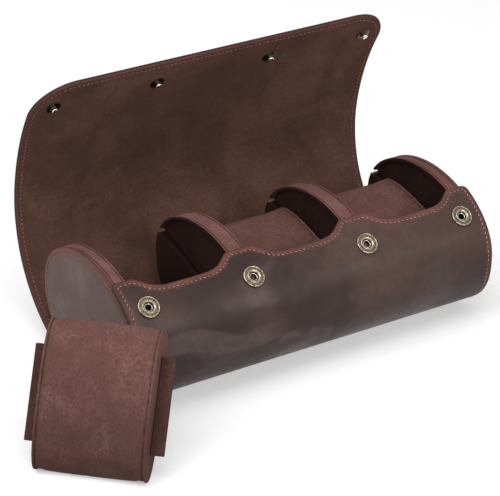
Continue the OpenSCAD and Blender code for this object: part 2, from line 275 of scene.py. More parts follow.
edgeLoop = np.vstack([edgeLine(0), edgeLine(0)[:1]])
edgeWay = np.concatenate([[0], np.cumsum(np.hypot(*np.diff(edgeLoop, axis=0).T))])
spotWays = np.linspace(0, edgeWay[-1], 9001)[:-1]
edgeSpots = np.column_stack([np.interp(spotWays, edgeWay, edgeLoop[:, k]) for k in (0, 1)])
edgeTree = kdtree.KDTree(len(edgeSpots))
for k, (x, s) in enumerate(edgeSpots):
    edgeTree.insert((x, s, 0), k)
edgeTree.balance()


# nearest point of the sheet's edge, and the distance to it
def nearestEdge(flatPoints):
    near = np.array([edgeTree.find((x, s, 0))[1] for x, s in flatPoints[:, :2]])
    best, away = edgeSpots[near], np.full(len(near), np.inf)
    for other in (near - 1, (near + 1) % len(edgeSpots)):
        a, b = edgeSpots[near], edgeSpots[other]
        f = np.clip(((flatPoints[:, :2] - a) * (b - a)).sum(1) / ((b - a) ** 2).sum(1), 0, 1)[:, None]
        spot = a + f * (b - a)
        distance = np.hypot(*(flatPoints[:, :2] - spot).T)
        best, away = np.where((distance < away)[:, None], spot, best), np.minimum(distance, away)
    return best, away


# the finishes read this distance, in millimetres, for their burnished edge
def markEdge(piece, distance):
    attribute = piece.data.attributes.new("edgeAway", "FLOAT", "POINT")
    attribute.data.foreach_set("value", np.asarray(distance, np.float32))


# stops are (from, to, step)
def spread(stops):
    values = []
    for a, b, step in stops:
        values += list(np.linspace(a, b, max(1, round((b - a) / step)), endpoint=False))
    return values + [stops[-1][1]]


# columns of the grid, close where the front edge slopes and at both ends
def columnShares():
    half, floorHalf, bayHalf = case["halfLength"], 14, 32
    marks, at = [(-half, -half + 4, 1.0), (-half + 4, -half + 8, 1.9)], -half + 8
    for bay in case["bayXs"]:
        marks += [(at, bay - bayHalf, 3), (bay - bayHalf, bay - floorHalf, 0.9),
                  (bay - floorHalf, bay + floorHalf, 3), (bay + floorHalf, bay + bayHalf, 0.9)]
        at = bay + bayHalf
    marks += [(at, half - 8, 3), (half - 8, half - 4, 1.9), (half - 4, half, 1.0)]
    return [v / half for v in spread(marks)]


shares = columnShares()


# rows of the grid, with close ones on both sides of each split
def sheetRows():
    cornerStart, beside = flapEnd - flap["corner"], 0.4
    marks, at = [(0, 4, 1.0), (4, 8.0, 1.6)], 8.0
    for split in splits:
        marks += [(at, split - beside, 3), (split - beside, split + beside, beside)]
        at = split + beside
    return spread(marks + [(at, cornerStart, 3), (cornerStart, flapEnd, 1.9)])


snapAngle = math.degrees(math.acos(-case["snapY"] / outerDepth))
snapWay = float(np.interp(snapAngle, wallAngles, way[:len(wallAngles)]))


# one layer of the sheet: a flat grid with a turned edge, given its thickness and laid round the case
def sheetLayer(name, rows, depths, inset=0.0, roundTop=0.0, roundBottom=0.0):
    bpy.ops.mesh.primitive_grid_add(x_subdivisions=len(shares) - 1, y_subdivisions=len(rows) - 1, size=2)
    layer = named(name)
    co = points(layer)
    i = np.rint((co[:, 0] + 1) / 2 * (len(shares) - 1)).astype(int)
    j = np.rint((co[:, 1] + 1) / 2 * (len(rows) - 1)).astype(int)
    flat = np.zeros_like(co)
    turned = case["turnedEdge"] if roundTop or roundBottom else 0
    off = inset + turned
    front, last, pulled = frontLine(off), flapEnd - flap["corner"], 40
    for k in range(len(co)):
        x, s = shares[i[k]] * (case["halfLength"] - off), rows[j[k]]
        if s < pulled:
            edge = np.interp(x, front[:, 0], front[:, 1])
            s = edge + s * (pulled - edge) / pulled
        elif s > last:
            s = last + (s - last) * (flap["corner"] - off) / flap["corner"]
        x, s = eased(x, s, case["halfLength"] - off, off, case["tabCorner"] - off, -1)
        flat[k, :2] = eased(x, s, case["halfLength"] - off, flapEnd - off, flap["corner"] - off, 1)
    place(layer, flat)
    if turned:
        steps = (1, 0.62, 0.34, 0.15, 0.04, 0)
        editWith("EDGE")
        bpy.ops.mesh.select_non_manifold()
        count = len(co)
        for before, after in zip(steps, steps[1:]):
            bpy.ops.mesh.extrude_edges_move()
            toMode("OBJECT")
            flat = points(layer)
            new = np.arange(len(flat)) >= count
            count = len(flat)
            spot, away = nearestEdge(flat[new])
            rim = spot + (flat[new, :2] - spot) * (inset / np.maximum(away, 1e-6))[:, None]
            flat[new, :2] = rim + (flat[new, :2] - rim) * after / before
            place(layer, flat)
            toMode("EDIT")
        toMode("OBJECT")
    useModifier(layer, "SOLIDIFY", thickness=1, offset=1, use_even_offset=False)
    for x in case["snapXs"]:
        bpy.ops.mesh.primitive_cylinder_add(vertices=32, radius=case["snapHole"], depth=12, location=(x, snapWay, 0))
        cutAway(layer, bpy.context.object)
    flat = points(layer)
    centres = np.array([face.center for face in layer.data.polygons])
    part = layer.data.attributes.new("portion", "INT", "FACE")
    part.data.foreach_set("value", np.searchsorted(splits, centres[:, 1]).astype(np.int32))
    away = nearestEdge(flat)[1]
    markEdge(layer, away)
    share = np.clip((flat[:, 1] - wallEnd) / (flapStart - wallEnd), 0, 1)
    # each face falls away in an elliptical round at the cut edge
    fall = 1 - np.sqrt(1 - (1 - np.clip((away - inset) / case["turnedEdge"], 0, 1)) ** 2)
    (topWall, topFlap), (bottomWall, bottomFlap) = depths
    low = topWall + (topFlap - topWall) * share + fall * roundTop
    high = bottomWall + (bottomFlap - bottomWall) * share - fall * roundBottom
    flat[:, 2] = low + (high - low) * flat[:, 2]
    place(layer, flat)
    return smoothed(layRound(layer), 40)


# the whole layer is parted where the flap's folds begin and end
def partedAlong(layer, names):
    parts = []
    for k, name in enumerate(names):
        twin = copied(layer, name)
        numbers = np.empty(len(twin.data.polygons), np.int32)
        twin.data.attributes["portion"].data.foreach_get("value", numbers)
        pick(twin)
        editWith("FACE")
        toMode("OBJECT")
        twin.data.polygons.foreach_set("select", numbers != k)
        toMode("EDIT")
        bpy.ops.mesh.delete(type="FACE")
        toMode("OBJECT")
        parts.append(twin)
    bpy.data.objects.remove(layer)
    return parts


# thread: each stitch is one rounded loop copied to its place
def stitchRow(name, spots, length, width, lift):
    bpy.ops.mesh.primitive_uv_sphere_add(segments=8, ring_count=6, radius=1)
    loop = named("threadLoop")
    moved(loop, Matrix.Diagonal((length / 2, width / 2, lift, 1)))
    parts = [moved(copied(loop, name), spot) for spot in spots]
    bpy.data.objects.remove(loop)
    return smoothed(joined(name, parts), 180)


# even steps along a closed line of points, with the heading between just before and just after each
def stepsAlong(line, pitch, first=0.5):
    pts = np.vstack([line, line[:1]])
    lengths = np.concatenate([[0], np.cumsum(np.hypot(*np.diff(pts, axis=0).T))])
    count = int(lengths[-1] // pitch)
    at = (np.arange(count) + first) * lengths[-1] / count
    (a, b), (c, d) = ([np.interp(at + reach, lengths, pts[:, k]) for k in (0, 1)] for reach in (-0.3, 0.3))
    return [((p + r) / 2, (q + s) / 2, math.atan2(s - q, r - p)) for p, q, r, s in zip(a, b, c, d)]


# wraps a value socket, so that shader maths is written as plain expressions
class Value:
    def __init__(self, finish, socket):
        self.finish, self.socket = finish, socket

    def maths(self, operation, *others):
        return self.finish.node("ShaderNodeMath", {"operation": operation}, self, *others)

    def __add__(self, other):
        return self.maths("ADD", other)

    __radd__ = __add__

    def __mul__(self, other):
        return self.maths("MULTIPLY", other)

    __rmul__ = __mul__

    def __sub__(self, other):
        return self.maths("SUBTRACT", other)

    def __rsub__(self, other):
        return self.finish.node("ShaderNodeMath", {"operation": "SUBTRACT"}, other, self)


class Finish:
    def __init__(self, name):
        self.material = bpy.data.materials.new(name)
        self.material.use_nodes = True
        self.tree = self.material.node_tree
        self.shader = self.tree.nodes["Principled BSDF"]
        self.objectAt = self.node("ShaderNodeTexCoord", {"out": "Object"})

    # any node: its settings first, then the values or links of its sockets, by order or by name
    def node(self, kind, settings=None, *inputs, **byName):
        settings = dict(settings or {})
        out = settings.pop("out", 0)
        made = self.tree.nodes.new(kind)
        for key, value in settings.items():
            setattr(made, key, value)
        for key, value in list(enumerate(inputs)) + [(k.replace("_", " "), v) for k, v in byName.items()]:
            self.feed(made.inputs[key], value)
        return Value(self, made.outputs[out])

    def feed(self, socket, value):
        if isinstance(value, Value):
            self.tree.links.new(value.socket, socket)
        else:
            socket.default_value = value

    def set(self, **values):
        for key, value in values.items():
            self.feed(self.shader.inputs[key.replace("_", " ")], value)
        return self

    def noise(self, scale, detail=2, rough=0.5, at=None, distortion=0.0):
        return self.node("ShaderNodeTexNoise", None, Vector=at or self.objectAt, Scale=scale, Detail=detail,
                         Roughness=rough, Distortion=distortion)

    def stretched(self, scale, turn=(0, 0, 0)):
        return self.node("ShaderNodeMapping", None, Vector=self.objectAt, Rotation=turn, Scale=scale)

    def between(self, value, low, high):
        return self.node("ShaderNodeMapRange", {"interpolation_type": "SMOOTHSTEP"},
                         Value=value, From_Min=low, From_Max=high)

    def absolute(self, value):
        return self.node("ShaderNodeMath", {"operation": "ABSOLUTE"}, value)

    def along(self, axis):
        return self.node("ShaderNodeSeparateXYZ", {"out": axis}, self.objectAt)

    # the colour sockets of a Mix node have no names of their own
    def mix(self, share, first, second):
        made = self.tree.nodes.new("ShaderNodeMix")
        made.data_type = "RGBA"
        for key, value in ((0, share), (6, first), (7, second)):
            self.feed(made.inputs[key], value)
        return Value(self, made.outputs[2])

    def edgeAway(self):
        return self.node("ShaderNodeAttribute", {"attribute_name": "edgeAway", "out": "Fac"})

    def bump(self, height, strength, distance, under=None):
        made = self.node("ShaderNodeBump", None, Strength=strength, Distance=distance, Height=height)
        if under:
            self.feed(made.socket.node.inputs["Normal"], under)
        return made

    def wear(self, piece, slot=None):
        piece.data.materials.clear()
        piece.data.materials.append(self.material)
        return piece


# a colour as it looks on a screen, 0 to 255, made linear
def tint(*levels):
    return tuple(v / 255 / 12.92 if v < 10.3 else ((v / 255 + 0.055) / 1.055) ** 2.4 for v in levels) + (1.0,)


# waxed, pulled-up leather: soft clouds, fine grain, and a redder burnish along every edge
leatherLook = {
    "dark": (42, 28, 25), "mid": (71, 50, 45), "pale": (99, 72, 63), "cool": (84, 69, 67),
    "burnish": (100, 60, 52), "rim": (46, 22, 20), "edge": 4.6, "seam": 3.1, "gloss": 0.31, "specular": 0.25,
}


def waxedLeather(name, look):
    finish = Finish(name)
    clouds = finish.noise(11, 3, 0.5, distortion=1.0)
    drift = finish.noise(1.0, 3, 0.5, at=finish.stretched((7, 20, 20), (0.35, 0, 0)))
    fine = finish.noise(190, 5, 0.65)
    shade = finish.between(clouds * 0.5 + drift * 0.5, 0.42, 0.58)
    colour = finish.mix(shade, tint(*look["dark"]), tint(*look["mid"]))
    pulled = finish.between(clouds * 0.35 + drift * 0.65, 0.5, 0.68)
    colour = finish.mix(pulled * 0.65, colour, tint(*look["pale"]))
    veils = finish.noise(1.0, 3, 0.55, at=finish.stretched((16, 30, 30), (-0.4, 0.3, 0.2)), distortion=0.8)
    bloom = finish.between(veils, 0.5, 0.66)
    colour = finish.mix(bloom * 0.7, colour, tint(*look["cool"]))
    colour = finish.mix(finish.between(fine, 0.35, 0.7) * 0.35, colour, tint(*look["dark"]))
    # painted shade: darker towards the right end, and darkest at both cut ends
    across = finish.along("X")
    paintedRightShade = finish.between(across + (clouds - 0.5) * 0.1, 0.0, 0.09)
    colour = finish.mix(paintedRightShade * 0.45, colour, tint(*look["dark"]))
    away = finish.edgeAway()
    ragged = away + (finish.noise(240, 4, 0.7) - 0.5) * look["edge"] * 0.9
    burnish = 1 - finish.between(ragged, look["edge"] * 0.6, look["edge"] * 1.1)
    patchy = 0.45 + finish.between(finish.noise(75, 3, 0.6), 0.4, 0.62) * 0.5
    colour = finish.mix(burnish * patchy, colour, tint(*look["burnish"]))
    seam = 1 - finish.between(finish.absolute(away - look["seam"]), 0.1, 0.9)
    colour = finish.mix(seam * 0.3, colour, tint(*look["dark"]))
    colour = finish.mix((1 - finish.between(away, 0.15, 0.75)) * 0.85, colour, tint(*look["rim"]))
    # painted shade: the rim colour laid on both cut ends of the sheet
    colour = finish.mix(finish.between(finish.absolute(across), 0.1115, 0.1136) * 0.9, colour, tint(*look["rim"]))
    grain = finish.node("ShaderNodeTexVoronoi", {"feature": "DISTANCE_TO_EDGE"}, Vector=finish.objectAt, Scale=1100.0)
    height = finish.between(grain, 0.0, 0.22) * 0.5 + finish.noise(520, 3, 0.6) * 0.5
    normal = finish.bump(height, 0.25, 0.00015)
    normal = finish.bump(fine, 0.25, 0.0004, normal)
    normal = finish.bump(drift * 0.6 + clouds * 0.4, 0.3, 0.006, normal)
    normal = finish.bump(1 - seam, 0.7, 0.0004, normal)
    roughness = look["gloss"] + (1 - shade) * 0.12 - bloom * 0.03
    roughness = roughness + finish.between(fine, 0.3, 0.7) * 0.08 + burnish * 0.16
    finish.set(Base_Color=colour, Roughness=roughness, Normal=normal, Specular_IOR_Level=look["specular"])
    return finish


# brushed suede: cloudy nap, fine speckle and a soft sheen
def brushedSuede(name, deep, main, lit, edgeTint=None, paintedFootShade=None, paintedRootShade=None,
                 rough=0.3, sheen=0.2, clouds=26.0, cloudy=1.0):
    finish = Finish(name)
    nap = finish.noise(clouds, 4, 0.6, distortion=0.5)
    broad = finish.noise(clouds * 0.35, 2, 0.5)
    speckle = finish.noise(2300, 2, 0.7)
    tufts = finish.noise(700, 4, 0.7)
    share = finish.between(nap * 0.6 + broad * 0.4, 0.34, 0.66)
    colour = finish.mix(0.5 + (share - 0.5) * cloudy, tint(*deep), tint(*main))
    colour = finish.mix(finish.between(nap * 0.3 + tufts * 0.5 + broad * 0.2, 0.48, 0.66) * 0.55, colour, tint(*lit))
    colour = finish.mix(finish.between(speckle, 0.5, 0.75) * 0.4, colour, tint(*lit))
    colour = finish.mix(finish.between(tufts, 0.52, 0.3) * rough, colour, tint(*(0.8 * v for v in deep)))
    if edgeTint:
        near = 1 - finish.between(finish.edgeAway() + (nap - 0.5) * 5.0, 1.25, 5.0)
        colour = finish.mix(near * 0.6, colour, tint(*edgeTint))
    # painted shade: darker low down at the flap's root, where the lining runs into the shaded bays
    if paintedRootShade:
        rootShade = 1 - finish.between(finish.along("Y"), 0.019, 0.06)
        rootShade = rootShade * (1 - finish.between(finish.along("Z"), 0.012, 0.045))
        colour = finish.mix(rootShade * 0.95, colour, tint(*paintedRootShade))
    # painted shade: darker towards the cushion's foot, standing for the floor's contact shade
    if paintedFootShade:
        foot = 1 - finish.between(finish.along("Z") + (nap - 0.5) * 0.02, -0.005, 0.075)
        colour = finish.mix(foot * 0.7, colour, tint(*paintedFootShade))
    normal = finish.bump(tufts * 0.6 + speckle * 0.4, 0.4, 0.0004)
    normal = finish.bump(nap, 0.12, 0.0015, normal)
    finish.set(Base_Color=colour, Roughness=0.95, Normal=normal, Specular_IOR_Level=0.1,
               Sheen_Weight=sheen, Sheen_Roughness=0.5, Sheen_Tint=tint(*lit))
    return finish


def thread(name, main, dark):
    finish = Finish(name)
    twist = finish.noise(1.0, 2, 0.5, at=finish.stretched((1400, 1400, 1400)))
    colour = finish.mix(finish.between(twist, 0.3, 0.7), tint(*dark), tint(*main))
    return finish.set(Base_Color=colour, Roughness=0.7, Normal=finish.bump(twist, 0.4, 0.0002), Specular_IOR_Level=0.3)


# antique brass: dark patches and rubbed-bright ones, spread at random
def antiqueMetal(name, bright, dark, roughness):
    finish = Finish(name)
    patches = finish.noise(900, 4, 0.65)
    share = finish.between(patches, 0.3, 0.55)
    finish.set(Base_Color=finish.mix(share, tint(*dark), tint(*bright)), Metallic=1.0,
               Roughness=roughness + (1 - share) * 0.2, Normal=finish.bump(patches, 0.1, 0.0001))
    return finish


leather = waxedLeather("waxedLeather", leatherLook)
flapLeather = waxedLeather("flapLeather", {**leatherLook, "burnish": (64, 39, 35)})
discLeather = waxedLeather("discLeather", {
    **leatherLook, "dark": (92, 77, 74), "mid": (99, 84, 81), "pale": (108, 92, 89), "cool": (100, 88, 87),
    "burnish": (120, 82, 67), "rim": (74, 46, 40), "edge": 6.4, "gloss": 0.42})
flapSuede = brushedSuede("flapSuede", (72, 50, 42), (92, 65, 56), (106, 77, 68),
                         edgeTint=(84, 56, 50), paintedRootShade=(38, 24, 21), clouds=34)
# dark suede of the bay pads, which also paints shade on the case's own lining and on the lips' side faces
baySuede = brushedSuede("baySuede", (32, 20, 18), (43, 28, 25), (60, 42, 38))
bandSuede = brushedSuede("bandSuede", (96, 64, 59), (116, 81, 75), (144, 106, 100), clouds=60)
cushionSuede = brushedSuede("cushionSuede", (91, 62, 56), (106, 74, 68), (132, 100, 93),
                            paintedFootShade=(54, 36, 32), rough=0.6, clouds=70, cloudy=0.5)
tabSuede = brushedSuede("tabSuede", (66, 43, 38), (76, 50, 45), (96, 66, 60),
                        rough=0.5, sheen=0.15, clouds=70, cloudy=0.5)
cutEdge = brushedSuede("cutEdge", (62, 34, 29), (78, 46, 39), (98, 62, 54))
board = brushedSuede("boardFelt", (26, 16, 14), (34, 22, 20), (44, 30, 27))
rimThread = thread("rimThread", (198, 152, 140), (132, 84, 74))
# painted shade: dark dots between the stitches for the shade in the needle holes
threadHole = thread("threadHole", (46, 20, 18), (28, 12, 11))
flapThread = thread("flapThread", (172, 128, 116), (112, 72, 63))
brass = antiqueMetal("antiqueBrass", (168, 155, 132), (86, 76, 60), 0.22)
dullBrass = antiqueMetal("dullBrass", (118, 107, 90), (52, 45, 37), 0.34)
# dark metal of the stud feet and dots, which also paints shade on the sockets' collars and bore cups
darkMetalAndShade = antiqueMetal("darkStud", (62, 56, 50), (22, 19, 17), 0.25)
brightMetal = antiqueMetal("brightPin", (232, 226, 212), (170, 160, 140), 0.14)
springSteel = antiqueMetal("springSteel", (214, 210, 200), (140, 134, 124), 0.2)
print("finishes made")


# depth of each layer's two faces under the sheet's outer face, each in the wall and in the flap
layers = {"leather": ((0, 0), (1.4, 1.4)), "stiffener": ((1.4, 1.4), (2.2, 2.2)), "lining": ((2.2, 1.4), (3.0, 2.6))}
rows = sheetRows()
partNames = ["case"] + ["fold%d" % k for k in range(1, 7)]
bodyPairs = [("case", "flap_panel_1")] + [("flap_panel_%d" % k, "flap_panel_%d" % (k + 1)) for k in range(1, 6)]


def blendPoint(s):
    return (0, float(np.interp(s, way, run[:, 2])) * mm, float(np.interp(s, way, run[:, 3])) * mm)


# the wall rides the case; each stretch of the flap only has its transform baked in
def carry(parts):
    for k, piece in enumerate(parts):
        if k == 0 and piece:
            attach(piece, "case")
        elif piece:
            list(bodyPairs[k - 1])
            blendPoint(bends[k - 1])
            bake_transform(piece)


leatherParts = partedAlong(sheetLayer("outerLeather", rows, layers["leather"], roundTop=0.75),
                           ["leather_" + n for n in partNames])
for k, piece in enumerate(leatherParts):
    (flapLeather if k else leather).wear(piece, "outer_leather")
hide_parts("outer_leather")
liningParts = partedAlong(sheetLayer("suedeLining", rows, layers["lining"], inset=0.25, roundBottom=0.45),
                          ["lining_" + n for n in partNames])
for piece in liningParts:
    flapSuede.wear(piece, "flap_suede")
# painted shade: the case's lining, one sheet with the flap's, wears the dark bay suede where it lies in shade
baySuede.wear(liningParts[0], "bay_suede")
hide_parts("case_lining")
for k in range(1, 7):
    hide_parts("flap_leather_%d" % k)
    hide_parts("flap_lining_%d" % k)
carry(leatherParts)
carry(liningParts)

wallRows = [r for r in rows if r <= wallEnd + 0.1]
stiffener = partedAlong(sheetLayer("edgeStiffener", wallRows, layers["stiffener"], inset=0.1), ["stiffener"])[0]
cutEdge.wear(stiffener, "board")
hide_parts("case_stiffener")
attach(stiffener, "case")
print("sheet and flap laid round")

# thread and hole sizes are length, width and half height; the lining shows thread on the flap alone
stitching = {
    "inset": 3.1, "pitch": 2.7, "slant": 0.3, "sunk": 0.02, "thread": (1.7, 0.48, 0.24), "hole": (0.66, 0.66, 0.07),
    "discPitch": 2.6, "discThread": (1.7, 0.42, 0.24), "discHeight": 1.2,
}
seamLine = edgeLine(stitching["inset"])
stitches, gaps = stepsAlong(seamLine, stitching["pitch"]), stepsAlong(seamLine, stitching["pitch"], 0)
outerDepthAt, innerDepthAt = stitching["sunk"], flap["thickness"] - stitching["sunk"]
for name, finish, spots, depth, begins, size in (
        ("rimStitches_", rimThread, stitches, outerDepthAt, 0, stitching["thread"]),
        ("flapStitches_", flapThread, stitches, innerDepthAt, flapStart, stitching["thread"]),
        ("stitchHoles_", threadHole, gaps, outerDepthAt, 0, stitching["hole"])):
    seats = [[] for _ in partNames]
    for x, s, turn in spots:
        if s > begins:
            seats[int(np.searchsorted(splits, s))].append(
                Matrix.Translation((x, s, depth)) @ Matrix.Rotation(turn + stitching["slant"], 4, "Z"))
    made = [layRound(stitchRow(name + part, seat, *size)) if seat else None
            for part, seat in zip(partNames, seats)]
    for piece in made:
        if piece:
            finish.wear(piece)
    carry(made)
print("stitching sewn")


ringAngles = [k * 2.5 for k in range(144)]


# a shape drawn from rings of points, each extruded from the one before; its ends are capped or joined
def ringPiece(name, rings, looped=False):
    rings = [np.asarray(ring, float) for ring in rings]
    bpy.ops.mesh.primitive_circle_add(vertices=len(rings[0]), radius=1, fill_type="NOTHING")
    piece = named(name)
    editWith("VERT", "SELECT")
    for _ in rings[1:]:
        bpy.ops.mesh.extrude_region_move()
    toMode("OBJECT")
    place(piece, np.vstack(rings))
    count = len(rings[0])
    last = (len(rings) - 1) * count
    for chosen in [(0, last)] if looped else [(0,), (last,)]:
        editWith("VERT")
        toMode("OBJECT")
        for first in chosen:
            for vertex in piece.data.vertices[first:first + count]:
                vertex.select = True
        toMode("EDIT")
        if looped:
            bpy.ops.mesh.bridge_edge_loops()
        else:
            bpy.ops.mesh.edge_face_add()
        toMode("OBJECT")
    return outward(piece)


def rimRing(x, inset):
    return [(x,) + rimPoint(a, -inset) for a in ringAngles]


# profile (x, inset) swept round the plate
def rimSweep(name, profile, looped=False):
    return ringPiece(name, [rimRing(x, inset) for x, inset in profile], looped)


slotTurn = Matrix.Translation((0, 0, case["slotLevel"])) @ Matrix.Rotation(math.radians(case["slotTilt"]), 4, "X")


# a box along the sloping slot, from s0 backwards and between two heights about the slot's middle
def slotBox(x0, x1, s0, low, high):
    bpy.ops.mesh.primitive_cube_add(size=1)
    box = bpy.context.object
    deep = 2 * case["halfDepth"]
    size = Matrix.Translation(((x0 + x1) / 2, s0 + deep / 2, (low + high) / 2)) \
        @ Matrix.Diagonal((x1 - x0, deep, high - low, 1))
    return moved(box, slotTurn @ size)


def mirroredX(piece):
    moved(piece, Matrix.Scale(-1, 4, (1, 0, 0)))
    return outward(piece)


plate = {"rim": 1.2, "lipWidth": 1.0, "groove": 0.55, "recess": 1.5, "padEdge": 0.7, "core": 0.55, "fill": 0.8}
halfSlot = case["slotHeight"] / 2


# suede band between two proud lips, with thin grooves beside them
def bandProfile(x0, x1):
    lip, groove, deep = plate["lipWidth"], plate["groove"], plate["rim"]
    left = [(x0, deep + 0.6), (x0, 0.3), (x0 + 0.12, 0.1), (x0 + 0.35, 0.0), (x0 + lip - 0.25, 0.02),
            (x0 + lip - 0.05, 0.15), (x0 + lip + 0.08, groove), (x0 + lip + 0.3, groove),
            (x0 + lip + 0.5, 0.22), (x0 + lip + 1.1, 0.1)]
    right = [(x0 + x1 - x, inset) for x, inset in reversed(left)]
    return left + [((x0 + x1) / 2, 0.02)] + right


def upperPad(name, x0, x1):
    face, soft = x1 - 0.05, plate["padEdge"]
    pad = rimSweep(name, [(x0, 1.25), (face - soft, 1.25), (face - soft * 0.4, 1.35), (face - 0.05, 1.75),
                          (face, 2.4), (face + 0.02, 6.0), (face + 0.05, 20.0)])
    editAll(pad)
    tilt = math.radians(case["slotTilt"])
    normal = (0, -math.sin(tilt), math.cos(tilt))
    bpy.ops.mesh.bisect(plane_co=(0, halfSlot * normal[1], case["slotLevel"] + halfSlot * normal[2]),
                        plane_no=normal, use_fill=True, clear_inner=True)
    toMode("OBJECT")
    useModifier(pad, "BEVEL", width=0.3, segments=2, limit_method="ANGLE", angle_limit=math.radians(50))
    return pad


def lowerPad(name, x0, x1):
    pad = rimSweep(name, [(x0, 1.25), (x1 - 0.4, 1.25), (x1 - 0.1, 1.4), (x1, 1.9), (x1, 20.0)])
    cutAway(pad, slotBox(x0 - 1, x1 + 1, -2 * case["halfDepth"], halfSlot, 3 * case["halfDepth"]))
    cutAway(pad, slotBox(x0 - 1, x1 + 1, case["heel"], -halfSlot, 3 * case["halfDepth"]))
    return pad


def finishPlate(piece, node, finish, slot):
    smoothed(toMetres(piece), 40)
    finish.wear(piece, slot)
    # painted shade: the lips' side faces wear the dark bay suede, as they lie in shade
    if finish == bandSuede:
        piece.data.materials.append(baySuede.material)
        for face in piece.data.polygons:
            face.material_index = 1 if abs(face.normal.x) > 0.8 else 0
    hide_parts(node)
    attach(piece, "case")


inside, outside = case["endInside"], case["endOutside"]
discAt = outside - 1.4
endBand = rimSweep("endBand", bandProfile(inside, discAt), looped=True)
cutAway(endBand, slotBox(inside - 1, inside + case["slotDepth"], 0, -halfSlot, halfSlot))
endUpper = mirroredX(upperPad("endUpper", -inside - case["slotDepth"], -inside - plate["recess"]))
endLower = mirroredX(lowerPad("endLower", -inside - case["slotDepth"], -inside))
# padded leather disc: rolled rim, sewn valley and a gently swelling middle
endDisc = rimSweep("endDisc", [
    (discAt + out, inset) for out, inset in (
        (-0.1, 1.5), (0.05, 0.15), (0.3, 0.02), (0.75, 0.0), (1.1, 0.12), (1.32, 0.45), (1.4, 0.95), (1.42, 1.9),
        (1.32, 2.6), (1.18, 3.0), (1.18, 3.3), (1.34, 3.8), (1.46, 4.8), (1.56, 7.0), (1.68, 11.0), (1.8, 17.0),
        (1.86, 25.0))])
rimAngles = np.linspace(0, 360, 721)
rims = np.array([rimPoint(a, 0) for a in rimAngles])
for side, name in ((1, "right"), (-1, "left")):
    for source, node, finish, slot, fill in (
            (endBand, "rim_band", bandSuede, "band_suede", None),
            (endUpper, "upper_pad", baySuede, "bay_suede", plate["fill"]),
            (endLower, "lower_pad", baySuede, "bay_suede", plate["fill"]),
            (endDisc, "leather", discLeather, "outer_leather", None)):
        piece = copied(source, name + source.name[0].upper() + source.name[1:])
        if side < 0:
            mirroredX(piece)
        if source == endDisc:
            markEdge(piece, [np.hypot(rims[:, 0] - y, rims[:, 1] - z).min() for _, y, z in points(piece)])
        finishPlate(piece, "%s_end_%s" % (name, node), finish, slot)
for source in (endBand, endUpper, endLower, endDisc):
    bpy.data.objects.remove(source)

for side, name in ((-1, "left"), (1, "right")):
    x, half = side * case["dividerX"], case["dividerThick"] / 2
    band = rimSweep(name + "DividerBand", bandProfile(x - half, x + half), looped=True)
    for a, b in ((x - half - 1, x - plate["core"]), (x + plate["core"], x + half + 1)):
        cutAway(band, slotBox(a, b, 0, -halfSlot, halfSlot))
    finishPlate(band, name + "_divider_rim_band", bandSuede, "band_suede")
    for maker, node, recess in ((upperPad, "upper_pads", plate["recess"]), (lowerPad, "lower_pads", 0)):
        pair = [maker("padRight", x + plate["core"], x + half - recess),
                mirroredX(maker("padLeft", -x + plate["core"], -x + half - recess))]
        pads = joined(name + "Divider" + node.title().replace("_", ""), pair)
        finishPlate(pads, "%s_divider_%s" % (name, node), baySuede, "bay_suede")
print("plates built")

# fine stitches round the end discs
discLine = np.array([rimPoint(a, -stitching["inset"]) for a in rimAngles[:-1]])
discSpots = stepsAlong(discLine, stitching["discPitch"])
flatOnDisc = Matrix.Rotation(math.pi / 2, 4, "Z") @ Matrix.Rotation(math.pi / 2, 4, "X")
for side, name in ((-1, "left"), (1, "right")):
    x = side * (discAt + stitching["discHeight"])
    spots = [Matrix.Translation((x, y, z)) @ Matrix.Rotation(turn, 4, "X") @ flatOnDisc for y, z, turn in discSpots]
    sewn = toMetres(stitchRow(name + "DiscStitches", spots, *stitching["discThread"]))
    flapThread.wear(sewn)
    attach(sewn, "case")


# a closed outline of (radius, height) spun round the snap's axis
def spun(name, outline):
    bpy.ops.mesh.primitive_circle_add(vertices=len(outline), radius=1, fill_type="NOTHING")
    piece = named(name)
    place(piece, [(r, 0, h) for r, h in outline])
    editAll(piece)
    bpy.ops.mesh.spin(steps=48, angle=math.tau, center=(0, 0, 0), axis=(0, 0, 1))
    toMode("OBJECT")
    return outward(piece)


# one copy of the source at each of the four snaps, as a single piece
def atSnaps(source, name, matrices, finish, slot, body, node=None):
    piece = joined(name, [moved(copied(source, name), matrix) for matrix in matrices])
    bpy.data.objects.remove(source)
    smoothed(toMetres(piece), 50)
    finish.wear(piece, slot)
    if node:
        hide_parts(node)
    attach(piece, body)


turned = math.degrees(math.atan2(math.sin(math.radians(snapAngle)) / (case["crown"] + case["thickness"]),
                                 math.cos(math.radians(snapAngle)) / outerDepth))
snapY, snapZ = rimPoint(snapAngle, case["thickness"])
socketPlaces = [Matrix.Translation((x, snapY, snapZ)) @ Matrix.Rotation(math.radians(turned - 90), 4, "X")
                for x in case["snapXs"]]

ring = spun("socketRing", [
    (2.45, -3.8), (3.3, -3.8), (3.3, -0.05), (6.0, -0.05), (6.05, 0.45), (6.0, 0.68), (5.85, 0.84), (5.65, 0.88),
    (5.45, 0.82), (5.34, 0.66), (5.3, 0.3), (3.95, 0.3), (3.92, 0.8), (3.84, 0.98), (3.66, 1.08), (3.4, 1.08),
    (3.16, 1.0), (2.95, 0.84), (2.75, 0.6), (2.55, 0.25), (2.45, -0.2), (2.45, -1.2)])
face = spun("socketFace", [
    (3.85, 0.25), (5.4, 0.25), (5.4, 0.64), (5.2, 0.66), (4.6, 0.72), (4.0, 0.74), (3.85, 0.7)])
